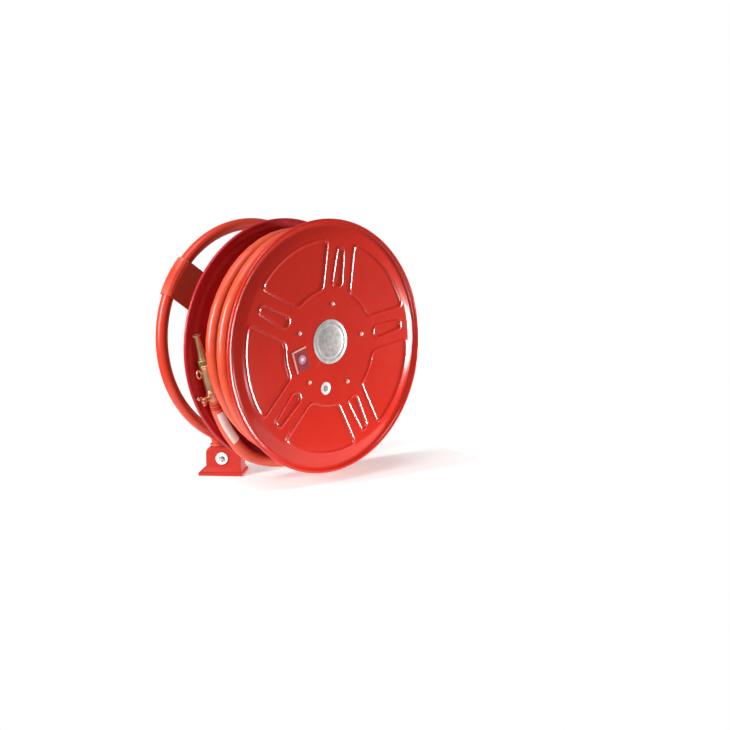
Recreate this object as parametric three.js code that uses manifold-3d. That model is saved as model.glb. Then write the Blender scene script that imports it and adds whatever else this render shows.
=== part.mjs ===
// Swinging fire hose reel: a foot bolted to a shelf, a bent pipe frame that swings on it and
// carries the water, and a drum with 30 m of 19 mm bore hose. Millimetres, +Z up.
// The origin is where the swing axis meets the underside of the foot. The discs face -Y.
import * as THREE from 'three';
import { mergeVertices } from 'three/addons/utils/BufferGeometryUtils.js';
import Module from 'manifold-3d';

const wasm = await Module();
wasm.setup();

const GAP = 0.3; // between pieces that touch

// ---- driving dimensions ----
const REEL_X = 109; // reel axis, along Y
const REEL_Z = 305;
const DISC_R = 280;
const FRONT_RIM_Y = -265; // planes of the two rolled rims
const REAR_RIM_Y = -114.4;
const DISH = 5; // how far a disc's flat face stands proud of its rim plane
const SHEET = 2;
const BEAD_R = 4.2;
const FLAT_R = 242;

const BARREL_R = 101;
const BARREL_FLANGE_R = 84;
const WEB = 3;
const RIVET_CIRCLE_R = 95;
const RIVET_COUNT = 5;
const RIVET_HOLE_R = 3.5;
const RIVET_START_DEG = 86;

const HOSE_R = 13.5;
const PACK_R = 260; // outside of the outermost turns
const PACK_STEP_R = 225; // the rear lane is wound only this high, and the nozzle is stowed above it
const PACK_STEP_Y = -153;
const OUTLET_Y = -129;
const FIRST_LAYER_R = 115;
const SLEEVE_STEPS = 3; // steps of the free end that the sleeve covers
const CHANNEL_R = 139; // room for the outlet elbow in the first layer

const PIPE_R = 13.45;
const PIPE_BORE_R = 10.6;
const HOOP_X = 103; // centre of the hoop
const HOOP_Z = 319;
const HOOP_R = 252;
const NECK_BOTTOM = 29.5;
const NECK_BEND_Z = 68;
const HOOP_END_DEG = -62;
const INWARD_BEND_R = 60;
const PIPE_END_FROM_AXIS = 38.3;

const STRAP_DEG = 146;
const STRAP_WIDTH = 92;
const STRAP_THICK = 4;
const STRAP_CLEARANCE = 0.8; // the strap's hooks are curved a little wider than the pipe
const STRAP_FRONT = -PIPE_R - STRAP_CLEARANCE - STRAP_THICK;
const FLANGE_BOLT_CIRCLE_R = 33;
const FLANGE_HOLE_R = 4.4;

const SPINDLE_R = 15;
const SPINDLE_BORE_R = 10;
const HUB_BORE_R = 19.3;
const HUB_R = 26;
const HUB_REAR_Y = -62;
const ELBOW_Y = 26;

const FOOT_TURN_DEG = -48;
const FOOT_SHIFT = 13; // the plate's middle, right of the swing axis
const HOUSING_SHIFT = 18; // the housing's middle, likewise
const FOOT_WIDTH = 102;
const FOOT_DEPTH = 84;
const FOOT_PLATE = 7;
const HOUSING_WIDTH = 80;
const HOUSING_DEPTH = 60;
const HOUSING_TOP = 64;
const LEFT_SHOULDER_R = 12; // tight, so the neck's socket stays inside the housing
const RIGHT_SHOULDER_R = 20;
const SOCKET_R = 17.3;
const BUSH_TOP = 61;
const INLET_Z = 19;
const FOOT_BOLT_Z = 39;
const FOOT_BOLT_X = 15;
const TAPPED_HOLE_X = 36; // half the spacing of the fixing holes underneath
const TAPPED_HOLE_Y = 31;

const NOZZLE_TIP = new THREE.Vector3(-152, -134, 340);
const NOZZLE_TAIL = new THREE.Vector3(-101, -134, 175);
const HANDLE_FROM_AXIS = THREE.MathUtils.degToRad(55);
const HANDLE_TIP_OUT = 12; // from the handle's inner face
const HANDLE_TIP_ASIDE = 9.2;
const COCK_AT = 142; // distances from the nozzle's tip
const EYE_AT = 84;

const frontFace = FRONT_RIM_Y - DISH;
const rearFace = REAR_RIM_Y + DISH;
const frontInner = frontFace + SHEET;
const rearInner = rearFace - SHEET;

// ---- materials ----
const finish = (color, roughness, metalness) =>
  new THREE.MeshStandardMaterial({ color, roughness, metalness });
const redPaint = finish(0xd2281f, 0.28, 0);
const redRubber = finish(0xd8462f, 0.5, 0);
const brass = finish(0xc08a55, 0.32, 1);
const oliveBrass = finish(0x8f8a4a, 0.4, 1);
const zinc = finish(0xb9c2c6, 0.35, 1);
const steel = finish(0x8d9094, 0.4, 1);
const bronze = finish(0x9a6b3c, 0.4, 1);
const blackRubber = finish(0x151515, 0.7, 0);
const whitePlastic = finish(0xf2efec, 0.45, 0);
const labelSilver = finish(0xdcdcda, 0.4, 0);
const labelRed = finish(0x9d1f1c, 0.35, 0);

// ---- geometry helpers ----
function signedVolume(position, index) {
  const a = new THREE.Vector3();
  const b = new THREE.Vector3();
  const c = new THREE.Vector3();
  let sum = 0;
  for (let i = 0; i < index.length; i += 3) {
    a.fromBufferAttribute(position, index[i]);
    b.fromBufferAttribute(position, index[i + 1]);
    c.fromBufferAttribute(position, index[i + 2]);
    sum += a.dot(b.cross(c));
  }
  return sum;
}

// The same surface with shared vertices, no collapsed triangles and its faces out.
function welded(geometry) {
  const bare = geometry.clone();
  bare.deleteAttribute('normal');
  bare.deleteAttribute('uv');
  const merged = mergeVertices(bare, 1e-3);
  const kept = [];
  const all = merged.index.array;
  for (let i = 0; i < all.length; i += 3) {
    const [a, b, c] = [all[i], all[i + 1], all[i + 2]];
    if (a !== b && b !== c && c !== a) kept.push(a, b, c);
  }
  if (signedVolume(merged.getAttribute('position'), kept) < 0) kept.reverse();
  merged.setIndex(kept);
  return merged;
}

function solid(geometry) {
  const clean = welded(geometry);
  return new wasm.Manifold(new wasm.Mesh({
    numProp: 3,
    vertProperties: Float32Array.from(clean.getAttribute('position').array),
    triVerts: Uint32Array.from(clean.index.array),
  }));
}

function geometryOf(manifold) {
  const mesh = manifold.getMesh();
  const geometry = new THREE.BufferGeometry();
  geometry.setAttribute('position', new THREE.BufferAttribute(Float32Array.from(mesh.vertProperties), 3));
  geometry.setIndex(Array.from(mesh.triVerts));
  return geometry;
}

const subtract = (base, ...cuts) => cuts.reduce((left, cut) => left.subtract(solid(cut)), solid(base));

// A closed outline of [radius, height] turned round Y.
function lathe(outline, segments = 24) {
  const points = outline.map(([r, y]) => new THREE.Vector2(r, y));
  if (outline[0][0] > 0) points.push(points[0].clone());
  return new THREE.LatheGeometry(points, segments);
}

const ring = (rIn, rOut, low, high, segments = 24) =>
  lathe([[rIn, low], [rOut, low], [rOut, high], [rIn, high]], segments);

const upright = (geometry) => geometry.rotateX(Math.PI / 2); // turns Y into Z

function rod(radius, low, high, sides = 24) {
  return new THREE.CylinderGeometry(radius, radius, high - low, sides).translate(0, (low + high) / 2, 0);
}

function arc(cx, cy, radius, fromDeg, toDeg, count) {
  const points = [];
  for (let i = 0; i <= count; i += 1) {
    const angle = THREE.MathUtils.degToRad(fromDeg + (toDeg - fromDeg) * i / count);
    points.push([cx + radius * Math.cos(angle), cy + radius * Math.sin(angle)]);
  }
  return points;
}

// A path with one step at each of its points.
class Route extends THREE.Curve {
  constructor(points) {
    super();
    this.points = points;
  }

  getPointAt(share) {
    const at = share * (this.points.length - 1);
    const i = Math.min(Math.floor(at), this.points.length - 2);
    return this.points[i].clone().lerp(this.points[i + 1], at - i);
  }

  getTangentAt(share) {
    const last = this.points.length - 1;
    const i = Math.round(share * last);
    return this.points[Math.min(i + 1, last)].clone().sub(this.points[Math.max(i - 1, 0)]).normalize();
  }
}

const smooth = (points, steps) =>
  new THREE.CatmullRomCurve3(points, false, 'centripetal').getSpacedPoints(steps);

// A tube or bar of round section through points.
function sweep(points, radius, sides, boreRadius = 0) {
  const circle = (r, end) => arc(0, 0, r, 0, end, sides).slice(1).map(([x, y]) => new THREE.Vector2(x, y));
  const section = new THREE.Shape(circle(radius, 360));
  if (boreRadius) section.holes.push(new THREE.Path(circle(boreRadius, -360)));
  const extrudePath = new Route(points);
  return new THREE.ExtrudeGeometry(section, { steps: points.length - 1, extrudePath, bevelEnabled: false });
}

function add(group, name, geometry, material) {
  const shape = geometry.isBufferGeometry ? welded(geometry) : geometryOf(geometry);
  const mesh = new THREE.Mesh(shape, material);
  mesh.name = name;
  group.add(mesh);
  return mesh;
}

// ---- foot ----
function footCasting() {
  const halfWidth = HOUSING_WIDTH / 2;
  const outline = new THREE.Shape();
  outline.moveTo(-halfWidth, FOOT_PLATE - 1);
  outline.lineTo(halfWidth, FOOT_PLATE - 1);
  const shoulder = (side, radius, from) => outline.absarc(side * (halfWidth - radius), HOUSING_TOP - radius,
    radius, from, from + Math.PI / 2, false);
  shoulder(1, RIGHT_SHOULDER_R, 0);
  shoulder(-1, LEFT_SHOULDER_R, Math.PI / 2);
  const extrusion = { depth: HOUSING_DEPTH, bevelEnabled: false, curveSegments: 6 };
  const housing = new THREE.ExtrudeGeometry(outline, extrusion);
  housing.rotateX(Math.PI / 2).translate(HOUSING_SHIFT, HOUSING_DEPTH / 2, 0);
  const plate = new THREE.BoxGeometry(FOOT_WIDTH, FOOT_DEPTH, FOOT_PLATE);
  plate.translate(FOOT_SHIFT, 0, FOOT_PLATE / 2);
  const skirt = new THREE.CylinderGeometry(Math.SQRT1_2, Math.SQRT1_2, 1, 4, 1);
  skirt.rotateY(Math.PI / 4).rotateX(Math.PI / 2);
  const corners = skirt.getAttribute('position');
  for (let i = 0; i < corners.count; i += 1) {
    const low = corners.getZ(i) < 0;
    const shift = low ? FOOT_SHIFT : HOUSING_SHIFT;
    const width = low ? FOOT_WIDTH - 6 : HOUSING_WIDTH;
    const depth = low ? FOOT_DEPTH - 6 : HOUSING_DEPTH;
    const z = low ? FOOT_PLATE - 1 : FOOT_PLATE + 11;
    const x = Math.sign(corners.getX(i)) * width / 2 + shift;
    corners.setXYZ(i, x, Math.sign(corners.getY(i)) * depth / 2, z);
  }
  const boss = rod(16, 0, HOUSING_DEPTH / 2 + 14).translate(0, 0, INLET_Z);
  const socket = upright(rod(SOCKET_R, 10, HOUSING_TOP + 1, 24));
  const inlet = rod(10, 0, HOUSING_DEPTH / 2 + 15).translate(0, 0, INLET_Z);
  const boltHole = rod(5, -HOUSING_DEPTH / 2 - 1, -SOCKET_R, 16).translate(FOOT_BOLT_X, 0, FOOT_BOLT_Z);
  let body = solid(plate).add(solid(housing)).add(solid(skirt)).add(solid(boss));
  const tappedHoles = [-1, 1].flatMap((sx) => [-1, 1].map((sy) =>
    upright(rod(4.2, -1, 9, 12)).translate(FOOT_SHIFT + sx * TAPPED_HOLE_X, sy * TAPPED_HOLE_Y, 0)));
  for (const cut of [socket, inlet, boltHole, ...tappedHoles]) body = body.subtract(solid(cut));
  return body;
}

function makeFoot() {
  const foot = new THREE.Group();
  foot.rotation.z = THREE.MathUtils.degToRad(FOOT_TURN_DEG);
  add(foot, 'foot_casting', footCasting(), redPaint);
  add(foot, 'swing_bush', upright(ring(PIPE_R + GAP, SOCKET_R - GAP, 35.5, BUSH_TOP)), bronze);
  add(foot, 'swing_seal', upright(ring(PIPE_R + GAP, SOCKET_R - GAP, 30.5, 35)), blackRubber);
  const nipple = [[7, 20], [9.7, 20], [9.7, 44.3], [17, 44.3], [17, 55], [13.2, 55], [13.2, 73], [9, 73],
    [7, 55]];
  add(foot, 'inlet_adapter', lathe(nipple), brass).position.z = INLET_Z;
  const face = -HOUSING_DEPTH / 2;
  const washer = ring(5.3, 14, face - GAP - 3, face - GAP, 24);
  add(foot, 'foot_bolt_washer', washer, whitePlastic).position.set(FOOT_BOLT_X, 0, FOOT_BOLT_Z);
  const headFace = face - 3 - 2 * GAP;
  const bolt = [[0, headFace - 5], [4.6, headFace - 4.2], [6.6, headFace - 2], [6.6, headFace],
    [4.7, headFace], [4.7, -SOCKET_R - 0.5], [0, -SOCKET_R - 0.5]];
  add(foot, 'foot_bolt', lathe(bolt, 16), zinc).position.set(FOOT_BOLT_X, 0, FOOT_BOLT_Z);
  return foot;
}

// ---- swinging frame ----
// Radius of the neck's bend, which starts straight up and runs smoothly into the hoop.
function neckBendRadius() {
  const rise = HOOP_Z - NECK_BEND_Z;
  return (HOOP_X ** 2 + rise ** 2 - HOOP_R ** 2) / (2 * (HOOP_R - HOOP_X));
}

const degrees = (dx, dz) => THREE.MathUtils.radToDeg(Math.atan2(dz, dx));

function inwardRun() {
  const angle = THREE.MathUtils.degToRad(HOOP_END_DEG);
  const cx = HOOP_X + (HOOP_R - INWARD_BEND_R) * Math.cos(angle);
  const cz = HOOP_Z + (HOOP_R - INWARD_BEND_R) * Math.sin(angle);
  const distance = Math.hypot(cx - REEL_X, cz - REEL_Z);
  const towards = Math.atan2(cz - REEL_Z, cx - REEL_X) - Math.asin(INWARD_BEND_R / distance);
  return { cx, cz, towards, reach: Math.sqrt(distance ** 2 - INWARD_BEND_R ** 2) };
}

function framePipe() {
  const bendR = neckBendRadius();
  const meetDeg = degrees(HOOP_X + bendR, HOOP_Z - NECK_BEND_Z);
  const run = inwardRun();
  const [endX, endZ] = [Math.cos(run.towards), Math.sin(run.towards)];
  const turnEndX = REEL_X + run.reach * endX;
  const turnEndZ = REEL_Z + run.reach * endZ;
  const turnEndDeg = degrees(turnEndX - run.cx, turnEndZ - run.cz);
  const route = [[0, NECK_BOTTOM], ...arc(-bendR, NECK_BEND_Z, bendR, 0, meetDeg, 5)];
  route.push(...arc(HOOP_X, HOOP_Z, HOOP_R, meetDeg - 180, HOOP_END_DEG - 360, 36).slice(1));
  route.push(...arc(run.cx, run.cz, INWARD_BEND_R, HOOP_END_DEG, turnEndDeg, 6).slice(1));
  const points = route.map(([x, z]) => new THREE.Vector3(x, 0, z));
  const fromAxis = (far, y) => new THREE.Vector3(REEL_X + far * endX, y, REEL_Z + far * endZ);
  const straightFrom = 0.37; // the pipe has risen to the elbow's plane here, as a share of the run
  for (let i = 0; i <= 4; i += 1) {
    const share = THREE.MathUtils.lerp(0.92, straightFrom, i / 4);
    const y = ELBOW_Y * THREE.MathUtils.smoothstep(i, 0, 4);
    points.push(fromAxis(run.reach * share, y));
  }
  points.push(fromAxis(PIPE_END_FROM_AXIS, ELBOW_Y));
  return sweep(points, PIPE_R, 10, PIPE_BORE_R);
}

// A broad flat strap across the hoop. Its ends wrap round the front and outside of the pipe.
function crossStrap() {
  const along = THREE.MathUtils.degToRad(STRAP_DEG);
  const inner = PIPE_R + STRAP_CLEARANCE;
  const hook = [...arc(HOOP_R, 0, inner + STRAP_THICK, -90, 40, 6), ...arc(HOOP_R, 0, inner, 40, -90, 6)];
  const hoopHook = solid(lathe(hook, 72).translate(HOOP_X, 0, HOOP_Z));
  const [ex, ez] = [Math.cos(along), Math.sin(along)];
  const shift = (REEL_X - HOOP_X) * ex + (REEL_Z - HOOP_Z) * ez;
  const side = (REEL_X - HOOP_X) * ez - (REEL_Z - HOOP_Z) * ex;
  const half = Math.sqrt(HOOP_R ** 2 - side ** 2);
  const onStrap = (geometry, x = 0) =>
    geometry.translate(x, 0, 0).rotateY(-along).translate(REEL_X, 0, REEL_Z);
  const flat = new THREE.BoxGeometry(2 * half, STRAP_THICK, STRAP_WIDTH);
  flat.translate(0, STRAP_FRONT + STRAP_THICK / 2, 0);
  const band = new THREE.BoxGeometry(4 * HOOP_R, 60, STRAP_WIDTH);
  let strap = hoopHook.intersect(solid(onStrap(band))).add(solid(onStrap(flat, -shift)));
  strap = strap.subtract(solid(rod(SPINDLE_R + GAP, -30, 0, 24).translate(REEL_X, 0, REEL_Z)));
  for (const hole of flangeHoles(FLANGE_HOLE_R, -30, 0)) strap = strap.subtract(solid(hole));
  return strap;
}

function flangeHoles(radius, low, high, sides = 10) {
  return [0, 90, 180, 270].map((turn) => {
    const angle = THREE.MathUtils.degToRad(STRAP_DEG + turn);
    const x = REEL_X + FLANGE_BOLT_CIRCLE_R * Math.cos(angle);
    const z = REEL_Z + FLANGE_BOLT_CIRCLE_R * Math.sin(angle);
    return rod(radius, low, high, sides).translate(x, 0, z);
  });
}

function spindle() {
  const outline = [[0, -246], [10, -246], [10, -226], [SPINDLE_R, -226], [SPINDLE_R, -61], [22, -61],
    [22, -27.2], [SPINDLE_R, -27.2], [SPINDLE_R, 22], [SPINDLE_BORE_R, 22], [SPINDLE_BORE_R, -150],
    [0, -150]];
  const port = rod(6, -20, 20, 12).rotateX(Math.PI / 2).translate(0, OUTLET_Y, 0);
  return subtract(lathe(outline), port);
}

function inletElbow(towards) {
  const boss = rod(17, 0, PIPE_END_FROM_AXIS - GAP, 24);
  const bore = rod(PIPE_BORE_R, 0, PIPE_END_FROM_AXIS + 1, 20);
  for (const shape of [boss, bore]) shape.rotateZ(-Math.PI / 2).rotateY(-towards).translate(0, ELBOW_Y, 0);
  const body = lathe([[0, ELBOW_Y - 20], [21, ELBOW_Y - 20], [21, ELBOW_Y + 17], [17, ELBOW_Y + 21],
    [0, ELBOW_Y + 21]]);
  return solid(body).add(solid(boss)).subtract(solid(bore)).subtract(solid(rod(SPINDLE_R + GAP, 0, 32, 24)));
}

function unionNut(towards) {
  const start = PIPE_END_FROM_AXIS - 9;
  const nut = solid(rod(23, start, start + 24, 6));
  const cut = [rod(17 + GAP, start - 1, PIPE_END_FROM_AXIS + 1), rod(PIPE_R + GAP, start - 1, start + 30)];
  const bored = cut.reduce((left, hole) => left.subtract(solid(hole)), nut);
  return geometryOf(bored).rotateZ(-Math.PI / 2).rotateY(-towards).translate(REEL_X, ELBOW_Y, REEL_Z);
}

function makeFrame() {
  const frame = new THREE.Group();
  const { towards } = inwardRun();
  add(frame, 'frame_pipe', framePipe(), redPaint);
  add(frame, 'neck_collar', upright(ring(PIPE_R + GAP, 18, HOUSING_TOP + GAP, NECK_BEND_Z)), redPaint);
  add(frame, 'cross_strap', crossStrap(), redPaint);
  const flange = flangeHoles(FLANGE_HOLE_R, -30, -10).reduce((left, hole) => left.subtract(solid(hole)),
    solid(ring(SPINDLE_R + GAP, 45, -26.9, STRAP_FRONT - GAP).translate(REEL_X, 0, REEL_Z)));
  add(frame, 'spindle_flange', flange, steel);
  flangeHoles(4.1, -25.5, -12).forEach((shank, i) => {
    const head = flangeHoles(7.5, STRAP_FRONT + STRAP_THICK + GAP, -7.5, 6)[i];
    add(frame, `flange_bolt_${i + 1}`, solid(shank).add(solid(head)), zinc);
  });
  const centred = new THREE.Group();
  centred.position.set(REEL_X, 0, REEL_Z);
  frame.add(centred);
  add(centred, 'spindle', spindle(), steel);
  add(centred, 'inlet_elbow', inletElbow(towards), brass);
  add(frame, 'union_nut', unionNut(towards), brass);
  add(centred, 'seal_ring_rear', ring(SPINDLE_R + GAP, HUB_BORE_R - GAP, -108, -102), blackRubber);
  add(centred, 'seal_ring_front', ring(SPINDLE_R + GAP, HUB_BORE_R - GAP, -156, -150), blackRubber);
  add(centred, 'spindle_washer', ring(10 + GAP, 18.6, -229.4, -226.3), zinc);
  add(centred, 'spindle_nut', subtract(rod(16, -240, -229.7, 6), rod(10 + GAP, -241, -229, 16)), zinc);
  return frame;
}

// ---- reel ----
// Outline of the front disc, from the middle out over the rolled bead and back along the inside.
function discOutline(holeR) {
  const beadX = DISC_R - BEAD_R;
  const rim = arc(beadX, FRONT_RIM_Y, BEAD_R, 215, 500, 6);
  return [[holeR, frontFace], [FLAT_R, frontFace], [FLAT_R + 14, frontFace + 1], ...rim,
    [FLAT_R + 14, frontInner + 1], [FLAT_R, frontInner], [holeR, frontInner]];
}

const mirrorY = (outline) => outline.map(([r, y]) => [r, FRONT_RIM_Y + REAR_RIM_Y - y]);

const rivetPlaces = Array.from({ length: RIVET_COUNT }, (_, i) => {
  const angle = THREE.MathUtils.degToRad(RIVET_START_DEG + 360 * i / RIVET_COUNT);
  return [RIVET_CIRCLE_R * Math.cos(angle), RIVET_CIRCLE_R * Math.sin(angle)];
});

function pierced(geometry, low, high) {
  const hole = (x, z) => solid(rod(RIVET_HOLE_R, low, high, 8).translate(x, 0, z));
  return rivetPlaces.reduce((left, [x, z]) => left.subtract(hole(x, z)), solid(geometry));
}

function hub() {
  const frontWeb = frontInner + GAP;
  const rearWeb = rearInner - GAP;
  const outline = [[HUB_BORE_R, frontWeb], [BARREL_R, frontWeb], [BARREL_R, frontWeb + WEB],
    [HUB_R, frontWeb + WEB], [HUB_R, rearWeb - WEB], [BARREL_R, rearWeb - WEB], [BARREL_R, rearWeb],
    [HUB_R, rearWeb], [HUB_R, HUB_REAR_Y], [HUB_BORE_R, HUB_REAR_Y]];
  const port = upright(rod(8, 0, 40, 12)).translate(0, OUTLET_Y, 0);
  return pierced(lathe(outline, 32), frontWeb - 1, rearWeb + 1).subtract(solid(port));
}

function drumBarrel() {
  const front = frontInner + WEB + 2 * GAP;
  const rear = rearInner - WEB - 2 * GAP;
  const inside = BARREL_R - SHEET;
  const outline = [[BARREL_FLANGE_R, front], [BARREL_R, front], [BARREL_R, rear], [BARREL_FLANGE_R, rear],
    [BARREL_FLANGE_R, rear - SHEET], [inside, rear - SHEET], [inside, front + SHEET],
    [BARREL_FLANGE_R, front + SHEET]];
  const outlet = upright(rod(11.5, 90, 110, 16)).translate(0, OUTLET_Y, 0);
  return pierced(lathe(outline, 32), front - 1, rear + 1).subtract(solid(outlet));
}

// Pipe stub from the hub out through the barrel wall, turning along the first turn of hose.
function hubOutlet() {
  const turn = 14;
  const bend = arc(turn, FIRST_LAYER_R - turn, turn, 180, 90, 4);
  const route = [[0, HUB_R + GAP], [0, 60], ...bend, [44, FIRST_LAYER_R]];
  const points = route.map(([x, z]) => new THREE.Vector3(x, OUTLET_Y, z));
  return sweep(points, 9.2, 10, 7);
}

function rivet(near, far) {
  const out = Math.sign(near - far);
  const outline = [[0, near + 3 * out], [3.4, near + 2.4 * out], [5.2, near + GAP * out],
    [3, near + GAP * out], [3, far - GAP * out], [3.3, far - GAP * out], [3.1, far - 2 * out],
    [0, far - 2.4 * out]];
  return lathe(outline, 8);
}

function labels(reel) {
  const back = frontFace - GAP;
  add(reel, 'centre_label', rod(49, back - 0.5, back, 40), labelSilver).position.set(-1, 0, 12);
  add(reel, 'small_label', rod(14, back - 0.5, back, 24), labelSilver).position.set(-15, 0, -90);
  const plate = new THREE.BoxGeometry(41, 1.6, 50).translate(0, back - 0.8, 0);
  const square = add(reel, 'square_label', plate, labelRed);
  square.position.set(-85, 0, -22);
  square.rotation.y = THREE.MathUtils.degToRad(-18);
}

function makeReel() {
  const reel = new THREE.Group();
  reel.position.set(REEL_X, 0, REEL_Z);
  const stackFront = frontInner + WEB + 2 * GAP + SHEET;
  const stackRear = rearInner - WEB - 2 * GAP - SHEET;
  add(reel, 'front_disc', pierced(lathe(discOutline(0), 48), frontFace - 1, frontInner + 1), redPaint);
  const rearOutline = mirrorY(discOutline(HUB_R + GAP));
  add(reel, 'rear_disc', pierced(lathe(rearOutline, 48), rearInner - 1, rearFace + 1), redPaint);
  add(reel, 'drum_barrel', drumBarrel(), redPaint);
  add(reel, 'hub', hub(), steel);
  add(reel, 'bush_front', ring(SPINDLE_R + GAP, HUB_BORE_R - GAP, -225.7, -200), bronze);
  add(reel, 'bush_rear', ring(SPINDLE_R + GAP, HUB_BORE_R - GAP, -92, HUB_REAR_Y), bronze);
  add(reel, 'hub_outlet', hubOutlet(), steel);
  rivetPlaces.forEach(([x, z], i) => {
    add(reel, `front_rivet_${i + 1}`, rivet(frontFace, stackFront), brass).position.set(x, 0, z);
    add(reel, `rear_rivet_${i + 1}`, rivet(rearFace, stackRear), brass).position.set(x, 0, z);
  });
  labels(reel);
  return reel;
}

// ---- hose ----
// The wound hose as one ring, stepped where the nozzle is stowed and where the outlet elbow lies.
function hosePack() {
  const front = frontInner + 3;
  const rear = rearInner - 0.5;
  const channelY = OUTLET_Y - HOSE_R - 2.5;
  const inside = BARREL_R + 0.5;
  return lathe([[inside, front], [PACK_R, front + 2], [PACK_R, PACK_STEP_Y], [PACK_STEP_R, PACK_STEP_Y],
    [PACK_STEP_R, rear], [CHANNEL_R, rear], [CHANNEL_R, channelY], [inside, channelY]], 48);
}

const onReel = (radius, deg, y) => {
  const angle = THREE.MathUtils.degToRad(deg);
  return new THREE.Vector3(REEL_X + radius * Math.cos(angle), y, REEL_Z + radius * Math.sin(angle));
};

function makeHose() {
  const hose = new THREE.Group();
  const pack = add(hose, 'hose_pack', hosePack(), redRubber);
  pack.position.set(REEL_X, 0, REEL_Z);
  const axis = NOZZLE_TAIL.clone().sub(NOZZLE_TIP).normalize();
  const lane = NOZZLE_TIP.y;
  const start = NOZZLE_TAIL.clone().addScaledVector(axis, GAP);
  const route = smooth([start, start.clone().addScaledVector(axis, 30), new THREE.Vector3(-79, lane, 125),
    new THREE.Vector3(-59, lane, 99.5), new THREE.Vector3(-42, lane, 82), onReel(273.5, -117, lane),
    onReel(272.5, -105, lane), onReel(270, -90, lane), onReel(266, -70, lane), onReel(259, -45, lane - 2),
    onReel(251, -20, lane - 4), onReel(246, 5, lane - 5)], 33);
  const tail = route.slice(SLEEVE_STEPS);
  tail[0] = tail[0].clone().lerp(tail[1], 0.08);
  add(hose, 'hose_sleeve', sweep(route.slice(0, SLEEVE_STEPS + 1), HOSE_R + 0.9, 12), whitePlastic);
  add(hose, 'hose_tail', sweep(tail, HOSE_R, 10), redRubber);
  const clamp = ring(HOSE_R + GAP, HOSE_R + 1.6, 24, 38, 20).rotateZ(-Math.PI / 2);
  add(hose, 'hose_clamp', clamp.translate(REEL_X, OUTLET_Y, REEL_Z + FIRST_LAYER_R), zinc);
  return hose;
}

// ---- nozzle, with its own Y from the tip to the hose and its X out to the cock handle ----
function cockBody() {
  const body = lathe([[7, 126.3], [12.4, 126.3], [13.5, 131], [13.5, 153], [11.6, 158], [7, 158]], 16);
  const cheek = rod(9, -13, 15, 16).rotateZ(-Math.PI / 2).translate(0, COCK_AT, 0);
  const waterway = rod(7, 120, 160, 16);
  const plugHole = rod(6.5, -20, 20, 16).rotateZ(Math.PI / 2).translate(0, COCK_AT, 0);
  return solid(body).add(solid(cheek)).subtract(solid(waterway)).subtract(solid(plugHole));
}

function cockPlug() {
  const stem = rod(6.2, -13, 21, 16).rotateZ(-Math.PI / 2);
  return subtract(stem, rod(4, -10, 10, 12).rotateX(HANDLE_FROM_AXIS));
}

// A small wing handle: two arms that flare from the boss to round tips, part-way between open and shut.
function cockHandle() {
  let handle = solid(rod(6.5, 0, 9, 16).rotateZ(-Math.PI / 2));
  for (const side of [-1, 1]) {
    const line = [[4, 2], [4, 6], [7, 9.6], [HANDLE_TIP_OUT, HANDLE_TIP_ASIDE]];
    const route = smooth(line.map(([out, aside]) => new THREE.Vector3(out, side * aside, 0)), 8);
    const arm = sweep(route, 2.8, 10).rotateX(HANDLE_FROM_AXIS);
    const tip = new THREE.SphereGeometry(4, 12, 8).translate(HANDLE_TIP_OUT, side * HANDLE_TIP_ASIDE, 0);
    handle = handle.add(solid(arm)).add(solid(tip.rotateX(HANDLE_FROM_AXIS)));
  }
  return handle;
}

function makeNozzle() {
  const nozzle = new THREE.Group();
  const along = NOZZLE_TAIL.clone().sub(NOZZLE_TIP).normalize();
  const front = new THREE.Vector3(0, -1, 0);
  const out = along.clone().cross(front);
  nozzle.matrix.makeBasis(out, along, front).setPosition(NOZZLE_TIP);
  nozzle.matrix.decompose(nozzle.position, nozzle.quaternion, nozzle.scale);
  const jet = [[4, 0], [8, 0], [9.3, 1.2], [9.3, 3.2], [5.6, 5], [10.3, 55.7], [7.5, 55.7], [4, 10]];
  add(nozzle, 'nozzle_jet', lathe(jet, 20), brass);
  const collar = [[7.5, 56], [11.4, 56], [12.2, 58], [12.2, 65], [11.4, 67.7], [7.5, 67.7]];
  add(nozzle, 'nozzle_collar', lathe(collar, 20), oliveBrass);
  const barrel = [[7, 68], [13.2, 68], [13.2, 74], [12.8, 78], [12.4, 126], [7, 126]];
  add(nozzle, 'nozzle_body', lathe(barrel, 20), brass);
  const eye = new THREE.TorusGeometry(5.2, 1.9, 6, 14).scale(1, 1.5, 1);
  add(nozzle, 'nozzle_eye', eye, brass).position.set(20.2, EYE_AT, 0);
  add(nozzle, 'cock_body', cockBody(), brass);
  add(nozzle, 'cock_plug', cockPlug(), bronze).position.y = COCK_AT;
  add(nozzle, 'cock_handle', cockHandle(), brass).position.set(21.3, COCK_AT, 0);
  add(nozzle, 'hose_ferrule', ring(7.5, 13.6, 158.3, 172.4, 20), redPaint);
  return nozzle;
}

const fireHoseReel = new THREE.Group();
fireHoseReel.add(makeFoot(), makeFrame(), makeReel(), makeHose(), makeNozzle());

export default fireHoseReel;
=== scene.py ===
import bisect
import math

import bpy
from mathutils import Matrix, Vector


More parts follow.
